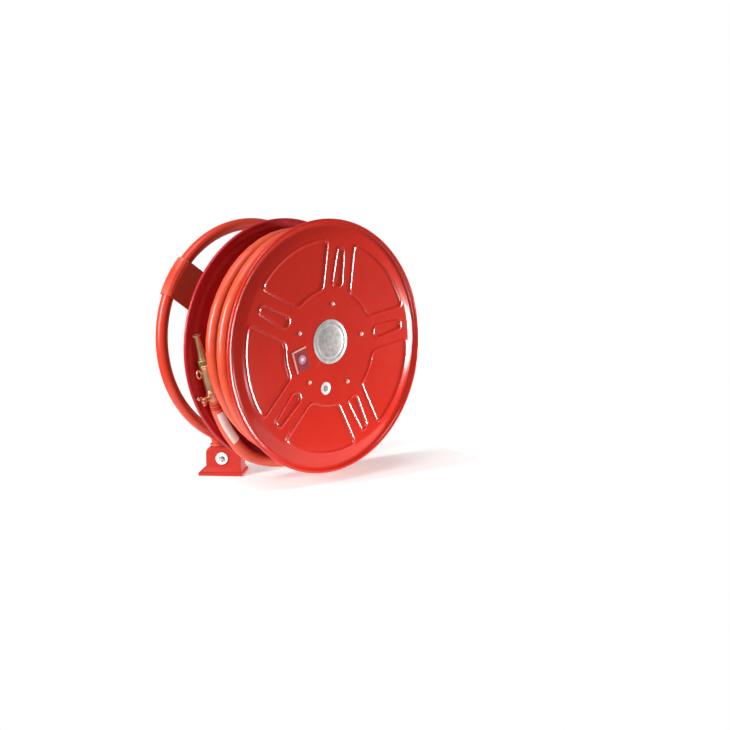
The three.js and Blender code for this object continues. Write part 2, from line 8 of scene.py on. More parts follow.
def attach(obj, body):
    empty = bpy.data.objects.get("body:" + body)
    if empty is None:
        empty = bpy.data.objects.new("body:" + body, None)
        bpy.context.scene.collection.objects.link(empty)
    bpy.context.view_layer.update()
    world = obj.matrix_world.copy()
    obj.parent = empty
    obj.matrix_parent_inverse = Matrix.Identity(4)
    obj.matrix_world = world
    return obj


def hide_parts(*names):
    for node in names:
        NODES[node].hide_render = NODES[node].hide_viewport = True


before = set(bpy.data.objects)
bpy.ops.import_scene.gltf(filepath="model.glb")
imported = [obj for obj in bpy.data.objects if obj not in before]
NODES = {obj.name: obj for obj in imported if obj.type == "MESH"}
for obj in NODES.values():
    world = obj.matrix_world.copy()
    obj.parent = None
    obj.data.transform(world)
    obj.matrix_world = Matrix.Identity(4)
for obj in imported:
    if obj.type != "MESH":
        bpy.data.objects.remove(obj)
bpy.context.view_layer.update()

MM = 0.001

# ---- dimensions shared with the CAD part, in millimetres ----
REEL_X, REEL_Z = 109, 305
DISC_R = 280
FRONT_RIM_Y, REAR_RIM_Y = -265, -114.4
DISH = 5
SHEET = 2
BEAD_R = 4.2
FLAT_R = 242
HOSE_R = 13.5
PIPE_R = 13.45
HOOP_X, HOOP_Z, HOOP_R = 103, 319, 252
NECK_BOTTOM, NECK_BEND_Z = 29.5, 68
HOOP_END_DEG = -62
INWARD_BEND_R = 60
PIPE_END_FROM_AXIS = 38.3
ELBOW_Y = 26
RISE_FROM, RISE_TO = 0.92, 0.37
OUTLET_Y = -129
NOZZLE_LANE = -134
NOZZLE_TIP = Vector((-152, NOZZLE_LANE, 340))
NOZZLE_TAIL = Vector((-101, NOZZLE_LANE, 175))
COCK_AT, EYE_AT = 142, 84
ARM_R = 2.9
ARM_SWELL, ARM_TIP_SWELL = (0.95, 1.36), (1.3, 1.1, 0.6)
EYE_HALF_WIDTH, EYE_HALF_LENGTH, EYE_OUT, EYE_BAR_R = 5.2, 8.4, 20.2, 1.9
HANDLE_TIP_OUT, HANDLE_TIP_ASIDE = 33.3, 9.2
HANDLE_FROM_AXIS = math.radians(55)
LABEL_BACK = FRONT_RIM_Y - DISH - 0.3

# ---- hose: 30 m wound clockwise seen from the front, then the free end to the nozzle ----
STEPS_PER_TURN = 48
CROSS_FROM, CROSS_TO = 150, 50  # a turn moves to its next lane or layer between these angles
WIND_START = 69
WIND_END = 62
SLEEVE_FROM_END, SLEEVE_LENGTH = 26.8, 90
WRAP_FRONT = Vector((-0.62, -0.78, 0.17))
WRAP_FROM, WRAP_TO, WRAP_STEPS = -17, 200, 28  # degrees round the hose from its front
LAYER_R = (115, 139.2, 163.4, 187.6, 212, 246)
LANE_Y = (-129, -159.6, -190.2, -220.8, -251)
TOP_LANE_Y = (-246, -206, -167)
DIP_TURN = 26  # the pass beside the nozzle, drawn in at lower left
DIP_DEPTH, DIP_AT, DIP_HALF_WIDTH = 9, -137, 55
LAST_TURN = (246, -143)
OUTLET_X = (22, 30, 38)  # the straight out of the drum's outlet, from the reel's axis
START_RISE = 8.2  # how much further out the winding starts
JOINED = 4  # points at the winding's end that the free end's curve runs through
FREE_TURN = ((246, 46, -141.6), (246, 28, -140.2), (246, 5, -139), (251, -20, -138), (259, -45, -136),
             (266, -70, NOZZLE_LANE), (270, -90, NOZZLE_LANE), (272.5, -105, NOZZLE_LANE),
             (273.5, -117, NOZZLE_LANE))  # reel radius, degrees, y
FREE_END = ((-41.5, 82.8), (-63.5, 109), (-80, 132.5), (-92.5, 156))  # x, z in the nozzle's lane
HOSE_END_FROM_TIP = 146
SLEEVE_INSIDE, SLEEVE_OUTSIDE = 0.1, 0.9  # the sleeve's faces, out from the hose's surface

# ---- pressed discs ----
SPOKES = 5
SPOKE_START = 82
SLOT_INNER, SLOT_OUTER = (146, 12), (209.5, 7.5)  # centres and half-widths of a slot's round ends
PANEL_INNER, PANEL_OUTER = 130, 232
PANEL_FROM_SPOKE = 42
SLOT_DEPTH, PANEL_DEPTH = 1.3, 0.7
RIDGE, RIDGE_WIDTH = 1.7, 1.9
WALL = 2.4
RIM_PROFILE = ((242, 0.4), (246, 1.3), (250, 2.6), (254, 4.1), (258, 5.5), (262, 6.6), (265, 7), (268, 6.6),
               (270, 6.0))
DISC_SIDES = 600
FRONT_HOLE_R, REAR_HOLE_R = 1.0, 26.3
PRESSED_MARGIN = 12
COARSE_RADII = (40, 70, 95, 110)
FINE_FROM, FINE_STEP, FINE_TO = 118, 1.6, 238
BACK_RADII = (95, 150, 200, 236)
RIM_BACK_TO = 267
BEAD_FROM, BEAD_SWEEP, BEAD_STEPS = 165, 305, 14

# ---- frame pipe ----
NECK_MIDDLE = 48
NECK_STEPS, HOOP_STEPS, BEND_STEPS, RISE_STEPS = 8, 150, 24, 16

# ---- labels: places from the reel's axis, and radii ----
CENTRE_LABEL, SMALL_LABEL, SQUARE_LABEL = (-1, 12), (-15, -90), (-85, -22)
CENTRE_R, CENTRE_MIDDLE_R, CENTRE_RING = 49, 34, (39, 43)
SMALL_R, SMALL_MIDDLE_R = 14, 7
DOT_R, DOT_MIDDLE_R = 10, 4
SQUARE_HALF_WIDTH, SQUARE_HALF_HEIGHT, SQUARE_TILT = 20.5, 25, -18
HIGHLIGHT_STRIP, HIGHLIGHT_STRIP_SPLIT = 4.4, 4.7  # the pale strips along the square label's side and top, painted highlights on its lit edges

# ---- edges of the kept pieces ----
EDGE_BEVEL = 0.5
CAST_VOXEL = 1.1

# ---- camera and studio, places in metres ----
CAMERA_AT, CAMERA_AIM = (-1.7370, -2.3368, 0.6095), (0.2174, -0.2650, 0.2557)
CAMERA_SENSOR, CAMERA_LENS = 36, 62.7
FLOOR_R, FLOOR_SIDES = 500, 96
FLOOR_X, FLOOR_Y, FLOOR_Z = 100, -100, -0.5
FLOOR_GLOW, WORLD_LIGHT = 0.28, 0.22
AREA_LIGHTS = (  # name, place, aim, size, watts
    ("left", (-2.6, 0.12, 1.1), (0.1, -0.15, 0.3), (0.5, 1.7), 98),
    ("right", (2.1, -0.75, 0.15), (0.2, -0.27, 0.22), (0.5, 0.4), 52),
    ("front_low", (0.22, -1.0, 0.08), (0.25, -0.27, 0.15), (0.2, 0.12), 1.5),
)
SUN_POWER, SUN_ANGLE, SUN_WAY = 1.2, 35, (0.35, 0.22, -1)


# ---- camera ----
def make_camera():
    data = bpy.data.cameras.new("camera")
    data.sensor_width = CAMERA_SENSOR
    data.lens = CAMERA_LENS
    camera = bpy.data.objects.new("camera", data)
    bpy.context.scene.collection.objects.link(camera)
    camera.location = CAMERA_AT
    aim = Vector(CAMERA_AIM) - camera.location
    camera.rotation_mode = "QUATERNION"
    camera.rotation_quaternion = aim.to_track_quat("-Z", "Y")
    bpy.context.scene.camera = camera


# ---- material helpers ----
def new_material(name):
    material = bpy.data.materials.new(name)
    material.use_nodes = True
    return material, material.node_tree


def link(tree, source, output, target, socket):
    tree.links.new(source.outputs[output], target.inputs[socket])


def noise(tree, scale, detail=3.0, stretch=None):
    coord = tree.nodes.new("ShaderNodeTexCoord")
    texture = tree.nodes.new("ShaderNodeTexNoise")
    texture.inputs["Scale"].default_value = scale
    texture.inputs["Detail"].default_value = detail
    if stretch:
        mapping = tree.nodes.new("ShaderNodeMapping")
        mapping.inputs["Scale"].default_value = stretch
        link(tree, coord, "Object", mapping, "Vector")
        link(tree, mapping, "Vector", texture, "Vector")
    else:
        link(tree, coord, "Object", texture, "Vector")
    return texture


def ramp(tree, source, output, stops):
    node = tree.nodes.new("ShaderNodeValToRGB")
    elements = node.color_ramp.elements
    while len(elements) < len(stops):
        elements.new(0.5)
    for element, (position, color) in zip(elements, stops):
        element.position = position
        element.color = (*color, 1)
    link(tree, source, output, node, "Fac")
    return node


def grey(value):
    return (value, value, value)


def shade(color, factor):
    return tuple(min(1.0, channel * factor) for channel in color)


def finish(name, color, rough, metallic=0.0, mottle=6.0, spread=0.12, bump=0.1, bump_scale=400.0,
           bump_depth=0.0003, stretch=None, edge_highlight=None, specular=0.5, patchy=1.0):
    """A surface whose colour and roughness drift slowly, with fine relief and a painted highlight lightening
    its edges.
    """
    material, tree = new_material(name)
    shader = tree.nodes["Principled BSDF"]
    shader.inputs["Metallic"].default_value = metallic
    shader.inputs["Specular IOR Level"].default_value = specular
    slow = noise(tree, mottle, 4.0)
    drift = ramp(tree, slow, "Fac", [(0.3, shade(color, 1 - spread)), (0.7, shade(color, 1 + spread))])
    # Edges and ridges lighten by pointiness: a painted highlight standing in for light caught on them, not
    # wear.
    if edge_highlight:
        geometry = tree.nodes.new("ShaderNodeNewGeometry")
        edges = ramp(tree, geometry, "Pointiness", [(0.53, grey(0.0)), (0.62, grey(0.55))])
        mix = tree.nodes.new("ShaderNodeMix")
        mix.data_type = "RGBA"
        tree.links.new(edges.outputs["Color"], mix.inputs[0])
        tree.links.new(drift.outputs["Color"], mix.inputs[6])
        mix.inputs[7].default_value = (*edge_highlight, 1)
        tree.links.new(mix.outputs[2], shader.inputs["Base Color"])
    else:
        link(tree, drift, "Color", shader, "Base Color")
    streak = noise(tree, mottle * 7, 5.0, stretch)
    roughness = ramp(tree, streak, "Fac", [(0.3, grey(max(0.03, rough - 0.06 * patchy))),
                                           (0.7, grey(rough + 0.08 * patchy))])
    link(tree, roughness, "Color", shader, "Roughness")
    grain = noise(tree, bump_scale, 3.0, stretch)
    relief = tree.nodes.new("ShaderNodeBump")
    relief.inputs["Strength"].default_value = bump
    relief.inputs["Distance"].default_value = bump_depth
    link(tree, grain, "Fac", relief, "Height")
    link(tree, relief, "Normal", shader, "Normal")
    return material


RED = (0.66, 0.019, 0.006)
# The edge_highlight colours are painted highlights: pale salmon on the red paints, pale gold on the brasses.
MATERIALS = {
    "red_paint": finish("red_paint", RED, 0.19, spread=0.05, bump=0.05, bump_scale=150, patchy=0.25,
                        edge_highlight=(0.90, 0.20, 0.15)),
    # painted shade: a darker copy of the red paint, for the rear disc and the drum barrel in shade between
    # the discs
    "painted_shade_red": finish("painted_shade_red", (0.46, 0.012, 0.020), 0.25, spread=0.06, bump=0.05, bump_scale=150,
                       patchy=0.3, edge_highlight=(0.62, 0.06, 0.06)),
    "cast_red": finish("cast_red", (0.48, 0.022, 0.011), 0.38, spread=0.1, bump=0.5, bump_scale=260,
                       bump_depth=0.0006, specular=0.3, edge_highlight=(0.85, 0.20, 0.13)),
    "hoop_red": finish("hoop_red", (0.66, 0.044, 0.017), 0.32, patchy=0.4, spread=0.06, bump=0.03,
                       bump_scale=120, edge_highlight=(0.8, 0.2, 0.12)),
    "warm_brass": finish("warm_brass", (0.66, 0.33, 0.21), 0.36, metallic=1, mottle=45, spread=0.22,
                         bump=0.35, bump_scale=520, edge_highlight=(0.95, 0.66, 0.5)),
    # brass rivets tinted salmon: brass colour plus a painted reflection of the red paint around them
    "rivet_brass_painted_reflection": finish("rivet_brass_painted_reflection", (0.90, 0.50, 0.38), 0.42, metallic=0.6, mottle=60, spread=0.12),
    "sleeve_wrap": finish("sleeve_wrap", (0.80, 0.75, 0.71), 0.42, mottle=34, spread=0.05, bump=0.25,
                          bump_scale=600),
    "red_rubber": finish("red_rubber", (0.70, 0.085, 0.036), 0.3, patchy=0.5, mottle=14, spread=0.1,
                         bump=0.35, bump_scale=700, specular=0.6),
    "brass": finish("brass", (0.78, 0.52, 0.30), 0.33, metallic=1, mottle=40, spread=0.2, bump=0.3,
                    bump_scale=500, edge_highlight=(0.95, 0.78, 0.58)),
    "olive_brass": finish("olive_brass", (0.36, 0.31, 0.12), 0.5, metallic=1, mottle=60, spread=0.25,
                          bump=0.3, bump_scale=700, edge_highlight=(0.7, 0.6, 0.3)),
    "zinc": finish("zinc", (0.60, 0.66, 0.70), 0.3, metallic=1, mottle=50, spread=0.12, bump_scale=600),
    "steel": finish("steel", (0.42, 0.43, 0.45), 0.35, metallic=1, mottle=30, spread=0.15,
                    bump_scale=900, stretch=(1, 12, 1)),
    "bronze": finish("bronze", (0.46, 0.27, 0.12), 0.42, metallic=1, mottle=60, spread=0.2),
    "black_rubber": finish("black_rubber", (0.02, 0.02, 0.02), 0.6, mottle=40, spread=0.3, bump=0.3),
    "white_plastic": finish("white_plastic", (0.86, 0.83, 0.80), 0.38, mottle=30, spread=0.04, bump=0.15,
                            bump_scale=800),
    "label_red": finish("label_red", (0.34, 0.018, 0.02), 0.3, mottle=60, spread=0.15, bump_scale=900),
    # painted highlight: pale salmon for the square label's lit left and top edges
    "label_edge_highlight": finish("label_edge_highlight", (0.92, 0.42, 0.33), 0.35, mottle=60, spread=0.06),
    "label_dot": finish("label_dot", (0.62, 0.22, 0.34), 0.3, mottle=120, spread=0.25),
    "label_grey": finish("label_grey", (0.28, 0.34, 0.32), 0.4, mottle=160, spread=0.3),
    "label_silver": finish("label_silver", (0.60, 0.58, 0.57), 0.38, metallic=0.2, mottle=85,
                           spread=0.2, bump=0.25, bump_scale=900),
    "label_ring": finish("label_ring", (0.42, 0.385, 0.37), 0.4, metallic=0.2, mottle=110, spread=0.3),
    "floor": finish("floor", (0.90, 0.90, 0.90), 0.75, mottle=1.5, spread=0.01, bump=0.02),
}


# ---- mesh helpers ----
def dress(obj, look, body=None, replaces=()):
    obj.data.materials.clear()
    obj.data.materials.append(MATERIALS[look])
    if body:
        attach(obj, body)
    if replaces:
        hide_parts(*replaces)
    return obj


def mesh_object(name, points, faces, sharp_deg=35):
    mesh = bpy.data.meshes.new(name)
    mesh.from_pydata([tuple(c * MM for c in p) for p in points], [], faces)
    mesh.validate()
    mesh.update()
    mesh.shade_smooth()
    mesh.set_sharp_from_angle(angle=math.radians(sharp_deg))
    obj = bpy.data.objects.new(name, mesh)
    bpy.context.scene.collection.objects.link(obj)
    return obj


def place_points(points, matrix):
    return [matrix @ Vector(p) for p in points]


def lathe(name, outline, sides, matrix=Matrix(), flutes=0, flute_depth=0.0, flute_span=(0, 0)):
    """Turns a closed (radius, height) outline round the local Y axis; points on the axis are shared."""
    points, rows = [], []
    for radius, height in outline:
        if radius < 1e-6:
            rows.append([len(points)] * sides)
            points.append((0, height, 0))
            continue
        row = []
        for i in range(sides):
            turn = 2 * math.pi * i / sides
            r = radius
            if flutes and flute_span[0] <= height <= flute_span[1]:
                r -= flute_depth * (0.5 + 0.5 * math.cos(turn * flutes))
            row.append(len(points))
            points.append((r * math.cos(turn), height, r * math.sin(turn)))
        rows.append(row)
    faces = []
    for k, row in enumerate(rows):
        after = rows[(k + 1) % len(rows)]
        for i in range(sides):
            j = (i + 1) % sides
            face = []
            for index in (row[i], row[j], after[j], after[i]):
                if index not in face:
                    face.append(index)
            if len(face) > 2:
                faces.append(face)
    return mesh_object(name, place_points(points, matrix), faces)


def tube(name, points, radius, resolution=6, radii=None):
    """A bar of round section on a smooth open line."""
    data = bpy.data.curves.new(name, "CURVE")
    data.dimensions = "3D"
    data.bevel_depth = radius * MM
    data.bevel_resolution = resolution
    data.use_fill_caps = True
    spline = data.splines.new("POLY")
    spline.points.add(len(points) - 1)
    for i, (point, place) in enumerate(zip(spline.points, points)):
        point.co = (*(c * MM for c in place), 1)
        if radii:
            point.radius = radii[i]
    spline.use_smooth = True
    obj = bpy.data.objects.new(name, data)
    bpy.context.scene.collection.objects.link(obj)
    return obj


def smoothstep(x):
    x = max(0.0, min(1.0, x))
    return x * x * (3 - 2 * x)


def catmull(points, per_span):
    """Centripetal Catmull-Rom through the points."""
    path = [points[0] * 2 - points[1], *points, points[-1] * 2 - points[-2]]
    out = []
    for p0, p1, p2, p3 in zip(path, path[1:], path[2:], path[3:]):
        t0 = 0.0
        t1 = t0 + (p1 - p0).length ** 0.5
        t2 = t1 + (p2 - p1).length ** 0.5
        t3 = t2 + (p3 - p2).length ** 0.5
        for k in range(per_span):
            t = t1 + (t2 - t1) * k / per_span
            a1 = p0 * ((t1 - t) / (t1 - t0)) + p1 * ((t - t0) / (t1 - t0))
            a2 = p1 * ((t2 - t) / (t2 - t1)) + p2 * ((t - t1) / (t2 - t1))
            a3 = p2 * ((t3 - t) / (t3 - t2)) + p3 * ((t - t2) / (t3 - t2))
            b1 = a1 * ((t2 - t) / (t2 - t0)) + a2 * ((t - t0) / (t2 - t0))
            b2 = a2 * ((t3 - t) / (t3 - t1)) + a3 * ((t - t1) / (t3 - t1))
            out.append(b1 * ((t2 - t) / (t2 - t1)) + b2 * ((t - t1) / (t2 - t1)))
    return out + [points[-1].copy()]


def on_reel(radius, degrees, y):
    turn = math.radians(degrees)
    return Vector((REEL_X + radius * math.cos(turn), y, REEL_Z + radius * math.sin(turn)))


# ---- hose ----
def lanes():
    """(radius, y) of each turn, from the drum outwards."""
    forth = list(LANE_Y)
    back = forth[::-1]
    turns = []
    for layer, order in enumerate((forth, back, forth, back, forth[1:], TOP_LANE_Y)):
        turns += [(LAYER_R[layer], y) for y in order]
    return turns + [LAST_TURN]


def winding():
    turns = lanes()
    step = 360 / STEPS_PER_TURN
    window = CROSS_FROM - CROSS_TO
    last = WIND_END - 360 * (len(turns) - 1)
    points, angle = [], float(WIND_START)
    while angle > last:
        passed = (CROSS_FROM - 360 - angle) / 360
        index = max(0, math.floor(passed) + 1)
        into = (CROSS_FROM - 360 * index - angle) / window
        radius, y = turns[min(index, len(turns) - 1)]
        if index and into < 1:
            before_r, before_y = turns[index - 1]
            share = smoothstep(into)
            radius = before_r + (radius - before_r) * share
            y = before_y + (y - before_y) * share
        if index == DIP_TURN:
            off = abs((angle + 360 * index) - DIP_AT) / DIP_HALF_WIDTH
            radius -= DIP_DEPTH * smoothstep(1 - off)
        if angle > 0:
            radius += START_RISE * smoothstep(angle / WIND_START)
        points.append(on_reel(radius, angle, y))
        angle -= step
    return points


def hose_route():
    along = (NOZZLE_TAIL - NOZZLE_TIP).normalized()
    start = [Vector((REEL_X + x, OUTLET_Y, REEL_Z + LAYER_R[0])) for x in OUTLET_X]
    loose = [on_reel(*place) for place in FREE_TURN]
    loose += [Vector((x, NOZZLE_LANE, z)) for x, z in FREE_END]
    loose += [NOZZLE_TAIL.copy(), NOZZLE_TIP + along * HOSE_END_FROM_TIP]
    wound = winding()
    return start + wound[:-JOINED] + catmull([*wound[-JOINED:], *loose], 6)


def lengths(points):
    total, sums = 0.0, [0.0]
    for a, b in zip(points, points[1:]):
        total += (b - a).length
        sums.append(total)
    return sums


def nozzle_matrix():
    along = (NOZZLE_TAIL - NOZZLE_TIP).normalized()
    front = Vector((0, -1, 0))
    out = along.cross(front)
    matrix = Matrix((out, along, front)).transposed().to_4x4()
    matrix.translation = NOZZLE_TIP
    return matrix


def wrap(name, points):
    """A thin sleeve round part of the hose, from its front round its outer side."""
    points = catmull(points[::3], 4)
    count = WRAP_STEPS + 1
    angles = [math.radians(WRAP_FROM + (WRAP_TO - WRAP_FROM) * i / WRAP_STEPS) for i in range(count)]
    places, faces = [], []
    for i, point in enumerate(points):
        ahead = points[min(i + 1, len(points) - 1)] - points[max(i - 1, 0)]
        outer = ahead.normalized().cross(WRAP_FRONT).normalized()
        front = outer.cross(ahead.normalized())
        for radius in (HOSE_R + SLEEVE_OUTSIDE, HOSE_R + SLEEVE_INSIDE):
            places += [point + (front * math.cos(a) + outer * math.sin(a)) * radius for a in angles]
    for i in range(len(points) - 1):
        row, after = i * 2 * count, (i + 1) * 2 * count
        for k in range(count - 1):
            faces.append((row + k, row + k + 1, after + k + 1, after + k))
            faces.append((row + count + k, after + count + k, after + count + k + 1,
                          row + count + k + 1))
        faces.append((row, after, after + count, row + count))
        faces.append((row + count - 1, row + 2 * count - 1, after + 2 * count - 1, after + count - 1))
    last = (len(points) - 1) * 2 * count
    for k in range(count - 1):
        faces.append((k, count + k, count + k + 1, k + 1))
        faces.append((last + k, last + k + 1, last + count + k + 1, last + count + k))
    return mesh_object(name, places, faces, 50)


def make_hose():
    route = hose_route()
    hose = tube("hose", route, HOSE_R, 5)
    dress(hose, "red_rubber", "reel", replaces=("hose_pack", "hose_tail"))
    sums = lengths(route)
    near = bisect.bisect(sums, sums[-1] - SLEEVE_FROM_END - SLEEVE_LENGTH)
    far = bisect.bisect(sums, sums[-1] - SLEEVE_FROM_END)
    sleeve = wrap("sleeve", route[near:far])
    dress(sleeve, "sleeve_wrap", "reel", replaces=("hose_sleeve",))
    return hose, sleeve, route


# ---- nozzle ----
def make_nozzle():
    matrix = nozzle_matrix()
    pieces = []

    def turned(name, outline, look, node, sides=48, **flutes):
        piece = lathe(name, outline, sides, matrix, **flutes)
        dress(piece, look, "reel", replaces=(node,))
        pieces.append(piece)

    turned("jet", [(4.2, 0.4), (4.8, 0), (8.2, 0), (9.1, 0.5), (9.4, 1.6), (9.1, 2.9), (7.6, 3.8),
                   (6.2, 5.2), (5.8, 8), (6.4, 20), (7.4, 32), (8.8, 45), (10.1, 53.6), (10.3, 54.8),
                   (9.8, 55.6), (7.5, 55.7), (4.2, 10)], "brass", "nozzle_jet")
    turned("collar", [(7.5, 56.1), (10.8, 56.1), (11.6, 56.8), (12.2, 58), (12.2, 60), (12.2, 62),
                      (12.2, 64), (12.2, 65.4), (11.6, 67), (10.8, 67.6), (7.5, 67.6)],
           "olive_brass", "nozzle_collar", sides=144, flutes=36, flute_depth=0.7, flute_span=(57.5, 65.5))
    turned("barrel", [(7, 68), (12.6, 68), (13.2, 68.6), (13.2, 73.4), (12.9, 74.2), (12.7, 76), (12.6, 90),
                      (12.4, 104), (12.4, 118), (12.6, 120), (12.6, 125.4), (12.1, 126), (7, 126)],
           "brass", "nozzle_body")
    turned("valve", [(7, 126.3), (11.8, 126.3), (12.4, 127.2), (12.4, 129.4), (13.1, 130.2), (13.5, 136),
                     (13.6, 142), (13.5, 148), (13.1, 153.6), (12.2, 156.8), (11.6, 157.9), (7, 157.9)],
           "warm_brass", "cock_body")
    turned("ferrule", [(7.6, 147), (7.6, 158.4), (13.1, 158.4), (13.6, 159), (13.6, 162), (13.1, 162.6),
                       (13.1, 164.4), (13.6, 165), (13.6, 168), (13.1, 168.6), (13.6, 169.4), (13.6, 171.6),
                       (13.1, 172.3), (7.6, 172.3)], "cast_red", "hose_ferrule")

    def local(x, y, z):
        return matrix @ Vector((x, y, z))

    ring = [local(EYE_OUT + EYE_HALF_WIDTH * math.cos(a), EYE_AT + EYE_HALF_LENGTH * math.sin(a), 0)
            for a in (2 * math.pi * i / 40 for i in range(41))]
    eye = tube("eye", ring, EYE_BAR_R, 5)
    dress(eye, "brass", "reel", replaces=("nozzle_eye",))
    stub = tube("eye_stub", [local(10.5, EYE_AT, 0), local(12.6, EYE_AT, 0), local(14.4, EYE_AT, 0)], 2.6, 5,
                [1.5, 1.1, 0.8])
    dress(stub, "brass", "reel")
    across = matrix @ Matrix.Translation((0, COCK_AT, 0)) @ Matrix.Rotation(math.radians(-90), 4, "Z")
    cheek = lathe("cheek", [(6.5, -13), (8.4, -13), (9, -12.2), (9, 13.6), (8.5, 14.8), (6.5, 15)],
                  40, across)
    dress(cheek, "warm_brass", "reel")
    stem = lathe("cock_stem", [(0, -14), (4.6, -14), (6.1, -13), (6.1, 16), (5.4, 17), (5.4, 21), (0, 21)],
                 40, across)
    dress(stem, "bronze", "cock", replaces=("cock_plug",))
    boss = lathe("handle_boss", [(0, 21.3), (5.4, 21.3), (6.3, 22.4), (6.3, 27), (5.2, 30), (2.6, 31.2),
                                 (0, 31.4)], 40, across)
    dress(boss, "warm_brass", "cock", replaces=("cock_handle",))
    aside = Vector((0, math.cos(HANDLE_FROM_AXIS), math.sin(HANDLE_FROM_AXIS)))
    arms = []
    for side in (-1, 1):
        bends = ((24.6, 1.5), (25.2, 5.8), (28.4, 9.4), (HANDLE_TIP_OUT, HANDLE_TIP_ASIDE), (34.9, 8.6))
        line = catmull([Vector((out, COCK_AT, 0)) + aside * (side * away) for out, away in bends], 5)
        slim, full = ARM_SWELL
        swell = [slim + (full - slim) * smoothstep((i / (len(line) - 1) - 0.4) / 0.35)
                 for i in range(len(line))]
        swell[-len(ARM_TIP_SWELL):] = ARM_TIP_SWELL
        arm = tube(f"handle_arm_{'ab'[side > 0]}", [matrix @ place for place in line], ARM_R, 6,
                   swell)
        dress(arm, "warm_brass", "cock")
        arms.append(arm)
    return pieces + [eye, stub, cheek, stem, boss, *arms]


# ---- disc pressing ----
def smooth_max(a, b, soft=14.0):
    h = max(0.0, soft - abs(a - b)) / soft
    return max(a, b) + h * h * soft / 4


def pressing(radius, angle_deg):
    """How far the sheet stands out from its flat face: sunk slots and panels with raised lips."""
    if radius < PANEL_INNER - PRESSED_MARGIN or radius > FLAT_R:
        return 0.0
    span = 360 / SPOKES
    turn = (angle_deg - SPOKE_START) % span
    near = math.radians(min(turn, span - turn))
    x, y = radius * math.cos(near), radius * math.sin(near)
    share = (x - SLOT_INNER[0]) / (SLOT_OUTER[0] - SLOT_INNER[0])
    share = max(0.0, min(1.0, share))
    middle = SLOT_INNER[0] + (SLOT_OUTER[0] - SLOT_INNER[0]) * share
    half = SLOT_INNER[1] + (SLOT_OUTER[1] - SLOT_INNER[1]) * share
    slot = math.hypot(x - middle, y) - half
    panel = smooth_max(smooth_max(radius - PANEL_OUTER, PANEL_INNER - radius), PANEL_FROM_SPOKE - y)
    height = 0.0
    for distance, depth in ((slot, SLOT_DEPTH), (panel, PANEL_DEPTH)):
        height -= depth * smoothstep(0.5 - distance / (2 * WALL))
        height += RIDGE * math.exp(-((distance - WALL) / RIDGE_WIDTH) ** 2)
    return height


def make_disc(name, node, hole, rim_y, out):
    """out is -1 for a face towards -Y, 1 for one towards +Y; a hole of 1 mm or less is closed."""
    face = rim_y + out * DISH
    fine = [FINE_FROM + FINE_STEP * i for i in range(75)]
    radii = [hole, *COARSE_RADII, *fine, FINE_TO]
    outer = [(r, face, True) for r in radii]
    outer += [(r, face - out * drop, False) for r, drop in RIM_PROFILE]
    bead = []
    for i in range(BEAD_STEPS + 1):
        turn = math.radians(BEAD_FROM - BEAD_SWEEP * i / BEAD_STEPS)
        bead.append((DISC_R - BEAD_R + BEAD_R * math.cos(turn),
                     rim_y + out * BEAD_R * math.sin(turn), False))
    back = [(r, face, False) for r in (hole, *BACK_RADII)]
    back += [(r, face - out * drop, False) for r, drop in RIM_PROFILE if r < RIM_BACK_TO]
    inner = [(r, y - out * SHEET, flag) for r, y, flag in reversed(back)]
    profile = outer + bead + inner
    points, faces = [], []
    for radius, y, pressed in profile:
        for i in range(DISC_SIDES):
            deg = 360 * i / DISC_SIDES
            turn = math.radians(deg)
            high = y + out * pressing(radius, deg) if pressed else y
            points.append((REEL_X + radius * math.cos(turn), high, REEL_Z + radius * math.sin(turn)))
    count = len(profile)
    for k in range(count if hole > 1 else count - 1):
        after = (k + 1) % count
        for i in range(DISC_SIDES):
            j = (i + 1) % DISC_SIDES
            quad = (k * DISC_SIDES + i, after * DISC_SIDES + i, after * DISC_SIDES + j, k * DISC_SIDES + j)
            faces.append(quad if out < 0 else quad[::-1])
    if hole <= 1:
        faces.append(tuple(range(DISC_SIDES))[::-out])
        faces.append(tuple(range((count - 1) * DISC_SIDES, count * DISC_SIDES))[::out])
    disc = mesh_object(name, points, faces, 50)
    # the rear plate gets the darker copy of the red paint, a painted shade
    dress(disc, "red_paint" if out < 0 else "painted_shade_red", "reel", replaces=(node,))
    return disc


# ---- frame ----
def arc(cx, cz, radius, start, end, steps):
    turns = (math.radians(start + (end - start) * i / steps) for i in range(steps + 1))
    return [(cx + radius * math.cos(a), cz + radius * math.sin(a)) for a in turns]


